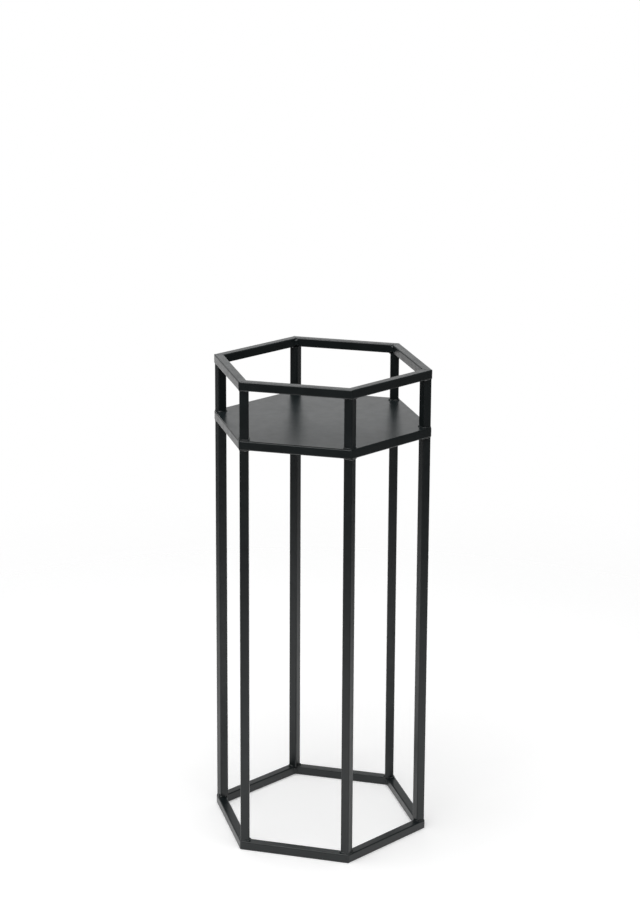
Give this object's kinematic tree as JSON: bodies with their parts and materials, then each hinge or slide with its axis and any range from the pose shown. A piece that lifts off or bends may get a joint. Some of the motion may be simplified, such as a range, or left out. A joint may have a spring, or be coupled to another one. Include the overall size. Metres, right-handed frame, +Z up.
{
  "type": "plant stool",
  "caption": "Tall hexagonal plant stool of black square steel tube: base ring, upright legs, a sheet shelf for a pot and a guard ring above it.",
  "frame": {"origin": "on the floor, under the middle of the hexagon", "axes": "+Z up, +X towards the right-hand corner, +Y towards the back side"},
  "size_m": [0.2988, 0.2598, 0.65],
  "materials": {
    "tube_coat": "satin black powder coat on square steel tube",
    "shelf_coat": "satin black powder coat on flat steel sheet",
    "weld_coat": "satin black powder coat over weld beads"
  },
  "bodies": {
    "root": {"base_rail_back": "tube_coat", "base_rail_back_left": "tube_coat", "base_rail_front_left": "tube_coat", "base_rail_front": "tube_coat", "base_rail_front_right": "tube_coat", "base_rail_back_right": "tube_coat", "shelf_rail_back": "tube_coat", "shelf_rail_back_left": "tube_coat", "shelf_rail_front_left": "tube_coat", "shelf_rail_front": "tube_coat", "shelf_rail_front_right": "tube_coat", "shelf_rail_back_right": "tube_coat", "top_rail_back": "tube_coat", "top_rail_back_left": "tube_coat", "top_rail_front_left": "tube_coat", "top_rail_front": "tube_coat", "top_rail_front_right": "tube_coat", "top_rail_back_right": "tube_coat", "leg_right": "tube_coat", "leg_back_right": "tube_coat", "leg_back_left": "tube_coat", "leg_left": "tube_coat", "leg_front_left": "tube_coat", "leg_front_right": "tube_coat", "guard_post_right": "tube_coat", "guard_post_back_right": "tube_coat", "guard_post_back_left": "tube_coat", "guard_post_left": "tube_coat", "guard_post_front_left": "tube_coat", "guard_post_front_right": "tube_coat", "shelf_plate": "shelf_coat", "base_mitre_welds": "weld_coat", "shelf_mitre_welds": "weld_coat", "top_mitre_welds": "weld_coat", "leg_foot_welds": "weld_coat", "leg_head_welds": "weld_coat", "post_foot_welds": "weld_coat", "post_head_welds": "weld_coat", "shelf_stitch_welds": "weld_coat"}
  },
  "joints": []
}
